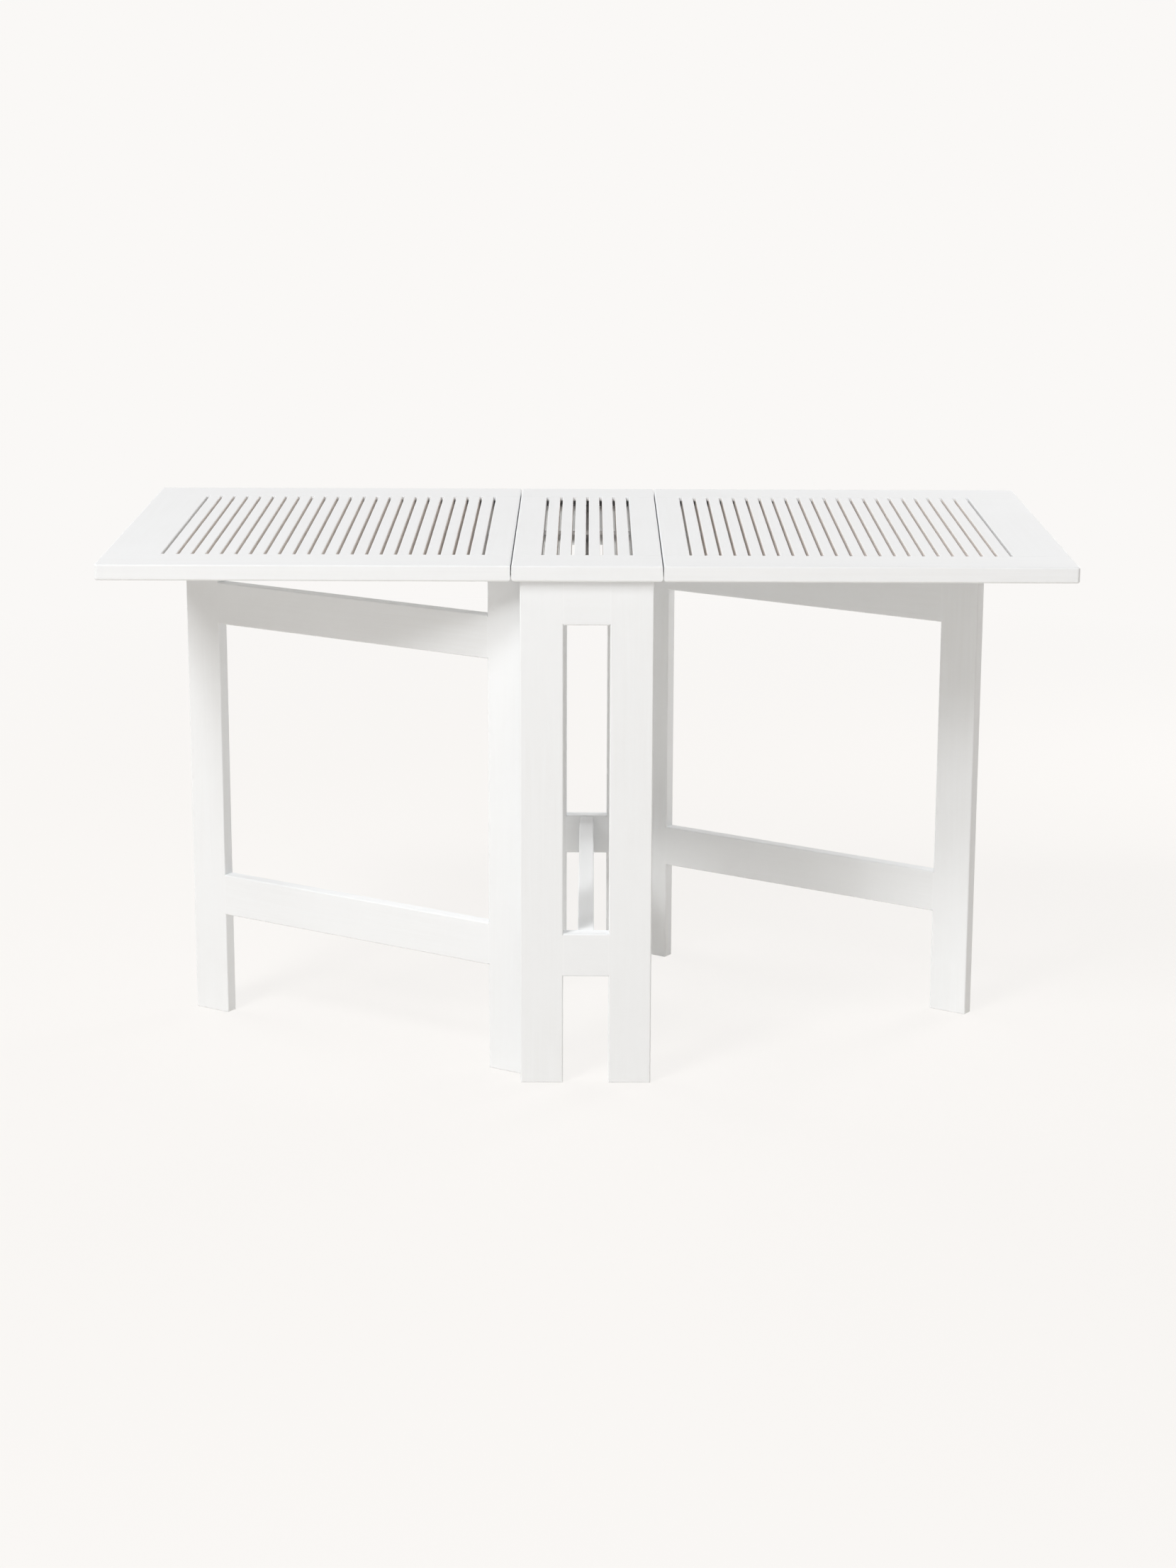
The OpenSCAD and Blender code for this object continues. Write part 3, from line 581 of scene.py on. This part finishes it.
def bare_beech():
    made, tree, shader = start_material("bare_beech")
    where = add(tree, "ShaderNodeTexCoord").outputs["Object"]
    along = group(tree, board_coordinates, {"Point": where, "Turn": ALONG_Y})["Vector"]
    lines = group(
        tree,
        wood_grain,
        {"Vector": along, "Lines per Metre": BEECH_LINES_PER_METRE},
    )["Lines"]
    colour = blended(tree, lines, BEECH_FLECK, BEECH_WOOD)
    tree.links.new(colour, shader.inputs["Base Color"])
    rough = spread(tree, lines, 0.0, 1.0, *BEECH_ROUGHNESS)
    tree.links.new(rough, shader.inputs["Roughness"])
    raise_surface(tree, shader, arithmetic(tree, "MULTIPLY", lines, BEECH_RELIEF_M))
    return made


beech = bare_beech()
print("wood", beech.name)

# %% [markdown]
# ## Giving the finishes to the pieces
#
# Every piece has a plain name, so its finish follows from the name: what it is made of,
# and for wood which way it runs. The rules are tried from the top, and the first that fits
# wins.

# %% Giving the finishes to the pieces
METAL_AND_DOWEL_RULES = (
    ("_pins", pin_zinc),
    ("screws", screw_zinc),
    ("hinges", hinge_zinc),
    ("centre_leaves", hinge_zinc),
    ("frame_leaves", hinge_zinc),
    ("dowels", beech),
)
GATE_RAILS = {"left_gate": paint_left_gate_rail, "right_gate": paint_right_gate_rail}


def finish_for(name):
    for part, finish in METAL_AND_DOWEL_RULES:
        if part in name:
            return finish
    if name in paint_slats:
        return paint_slats[name]
    if name.endswith(("stile", "leg")):
        return paint_upright
    if name.endswith(("board", "stretcher")):
        return paint_along_y
    if name.endswith("stop"):
        return GATE_RAILS[name.replace("leaf_stop", "gate")]
    for gate, finish in GATE_RAILS.items():
        if name.startswith(gate):
            return finish
    return paint_along_x


given_to = {}
for name, piece in nodes.items():
    finish = finish_for(name)
    for slot in piece.material_slots:
        slot.material = finish
    given_to.setdefault(finish.name, []).append(name)
for finish, names in given_to.items():
    print(finish, len(names))

# %% [markdown]
# ## Slats as wide as in the photograph
#
# Measured once more in the picture, the slots are four millimetres wide, while the solids
# leave six between their slats. The slats of a top are one piece with all its joinery, so
# they aren't drawn anew. The scene copies their mesh and moves each wall of a slat outwards
# by one millimetre, and the two walls that face a board by two. Tongues, notches and
# rounded edges move along. The copy stands for the solids, and its slats are counted from
# the same place as for the paint.

# %% Slats as wide as in the photograph
WALL_OUT_M, WALL_TO_BOARD_OUT_M = 0.001, 0.002


def wider_slats(field, body):
    start, count = slat_count(field)
    mesh = nodes[field].data.copy()
    mesh.name = "dressed_" + field
    mesh.materials.clear()
    mesh.materials.append(paint_slats[field])
    for vertex in mesh.vertices:
        slat = int((vertex.co.x - start) / SLAT_PITCH_M)
        middle = start + (slat + 0.5) * SLAT_PITCH_M
        side = copysign(1.0, vertex.co.x - middle)
        faces_board = (slat == 0 and side < 0) or (slat == count - 1 and side > 0)
        vertex.co.x += side * (WALL_TO_BOARD_OUT_M if faces_board else WALL_OUT_M)
    piece = bpy.data.objects.new("dressed_" + field, mesh)
    bpy.context.scene.collection.objects.link(piece)
    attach(piece, body)
    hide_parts(field)
    return piece


for field, body in SLAT_FIELDS.items():
    wide = wider_slats(field, body)
    print(wide.name, "rides on", body, "with", len(wide.data.vertices), "points")

# %% [markdown]
# ## Floor and backdrop
#
# The picture is a studio shot on a pale ground that runs into the background without a
# line, and the light comes from so many sides that hardly a shadow is left on it. A
# painted floor and wall would show where they meet. Instead, one large floor keeps a faint
# shadow near the table, and further out it turns into the same even, lit tone as the world
# behind it. Only what the lens, a mirror or glass sees is lit that way. Light that bounces
# meets a plain, slightly warm floor everywhere, which warms the undersides a little.

# %% Floor and backdrop
BACKDROP = (0.956, 0.939, 0.922, 1.0)
FLOOR = (0.875, 0.845, 0.80, 1.0)
FLOOR_ROUGHNESS = 0.9
FLOOR_HALF_M = 30.0
NEAR_GLOW_SHARE = 0.86
SHADOW_REACH_M, OPEN_REACH_M = 1.6, 3.4


def is_seen(tree):
    """1 where the lens, a reflection or a view through glass looks at the surface."""
    path = add(tree, "ShaderNodeLightPath").outputs
    seen = arithmetic(tree, "MAXIMUM", path["Is Camera Ray"], path["Is Glossy Ray"])
    return arithmetic(tree, "MAXIMUM", seen, path["Is Transmission Ray"])


def floor_finish():
    made, tree, shader = start_material("studio_floor")
    shader.inputs["Base Color"].default_value = FLOOR
    shader.inputs["Roughness"].default_value = FLOOR_ROUGHNESS
    shader.inputs["Specular IOR Level"].default_value = 0.0
    where = add(tree, "ShaderNodeTexCoord").outputs["Object"]
    away = vectors(tree, "LENGTH", where)["Value"]
    open_share = spread(tree, away, SHADOW_REACH_M, OPEN_REACH_M, NEAR_GLOW_SHARE, 1.0)
    share = arithmetic(tree, "MULTIPLY", open_share, is_seen(tree))
    glow = add(tree, "ShaderNodeEmission", {"Color": BACKDROP, "Strength": 1.0})
    mix = add(tree, "ShaderNodeMixShader", {0: share, 1: shader.outputs[0], 2: glow.outputs[0]})
    tree.links.new(mix.outputs[0], tree.nodes["Material Output"].inputs["Surface"])
    return made


near, far = -FLOOR_HALF_M, FLOOR_HALF_M
corners = [(near, near, 0.0), (far, near, 0.0), (far, far, 0.0), (near, far, 0.0)]
floor_mesh = bpy.data.meshes.new("floor")
floor_mesh.from_pydata(corners, [], [(0, 1, 2, 3)])
floor_mesh.materials.append(floor_finish())
floor = bpy.data.objects.new("floor", floor_mesh)
bpy.context.scene.collection.objects.link(floor)
print("floor", far - near, "m wide")

# %% [markdown]
# ## Light
#
# The shading tells where the light stood. The leaves throw a shadow with a soft edge down
# the gates, further down on the left one than on the right one: the main source stands
# before the table, to its left, at about forty degrees. The shadowed sides are only a few
# shades darker than the lit ones, so there are weaker sources all round, as in a light
# tent. The slots show as thin lines, because a strong low source behind the table lights
# their walls. The front grows darker towards the feet, so the lamps stand near rather than
# far away. Round soft lamps give all this with few numbers. The main source is a bank of
# four of them, and a faint warm fill stands for the tent itself.

# %% Lamps
LAMP_AIM = Vector((0.0, 0.0, 0.5))
LAMPS = (
    # name, degrees from the front towards the left, degrees up,
    # metres away, width in degrees, strength
    ("key_low_right", 32, 34, 7.0, 14, 0.67),
    ("key_high_right", 32, 50, 7.0, 14, 0.55),
    ("key_low_left", 40, 34, 7.0, 14, 0.38),
    ("key_high_left", 40, 50, 7.0, 14, 0.69),
    ("front_light", 0, 20, 4.5, 26, 0.17),
    ("front_right_light", -28, 20, 4.5, 26, 0.29),
    ("high_right_light", -60, 60, 4.5, 30, 0.13),
    ("rear_left_light", 125, 20, 4.5, 30, 1.32),
    ("rear_right_light", -130, 20, 3.2, 24, 1.38),
    ("rear_light", -150, 35, 4.5, 30, 0.18),
)


def soft_lamp(name, azimuth, elevation, distance, width, strength):
    """Round source. A strength of 1 puts 1 W on each square metre that faces it."""
    lamp = bpy.data.lights.new(name, "AREA")
    lamp.shape = "DISK"
    lamp.size = 2 * distance * tan(radians(width / 2))
    lamp.energy = strength * pi * distance**2
    made = bpy.data.objects.new(name, lamp)
    bpy.context.scene.collection.objects.link(made)
    turn, lift = radians(azimuth), radians(elevation)
    towards = Vector((-sin(turn) * cos(lift), -cos(turn) * cos(lift), sin(lift)))
    made.rotation_euler = towards.to_track_quat("Z", "Y").to_euler()
    made.location = LAMP_AIM + distance * towards
    made.visible_camera = False
    return made


for lamp_row in LAMPS:
    soft_lamp(*lamp_row)
print("lamps", [lamp.name for lamp in bpy.data.lights])

# %% [markdown]
# ## World
#
# The world does two jobs. What the lens sees behind the floor has to be the backdrop's tone,
# and what falls on the table has to be the tent's faint warm fill. One colour can't be both,
# so the kind of ray chooses between them. The view is left plain, so a colour renders as
# it was written.

# %% World
FILL_COLOUR = (1.25, 1.0, 0.8, 1.0)
FILL_STRENGTH = 0.08

world = bpy.data.worlds.new("studio")
world.use_nodes = True
sky = world.node_tree
fill = sky.nodes["Background"]
fill.inputs["Color"].default_value = FILL_COLOUR
fill.inputs["Strength"].default_value = FILL_STRENGTH
backdrop = add(sky, "ShaderNodeBackground", {"Color": BACKDROP, "Strength": 1.0})
rays = {0: is_seen(sky), 1: fill.outputs[0], 2: backdrop.outputs[0]}
choice = add(sky, "ShaderNodeMixShader", rays)
sky.links.new(choice.outputs[0], sky.nodes["World Output"].inputs["Surface"])
bpy.context.scene.world = world
bpy.context.scene.view_settings.view_transform = "Standard"
print("fill", FILL_STRENGTH, "backdrop", BACKDROP[:3])
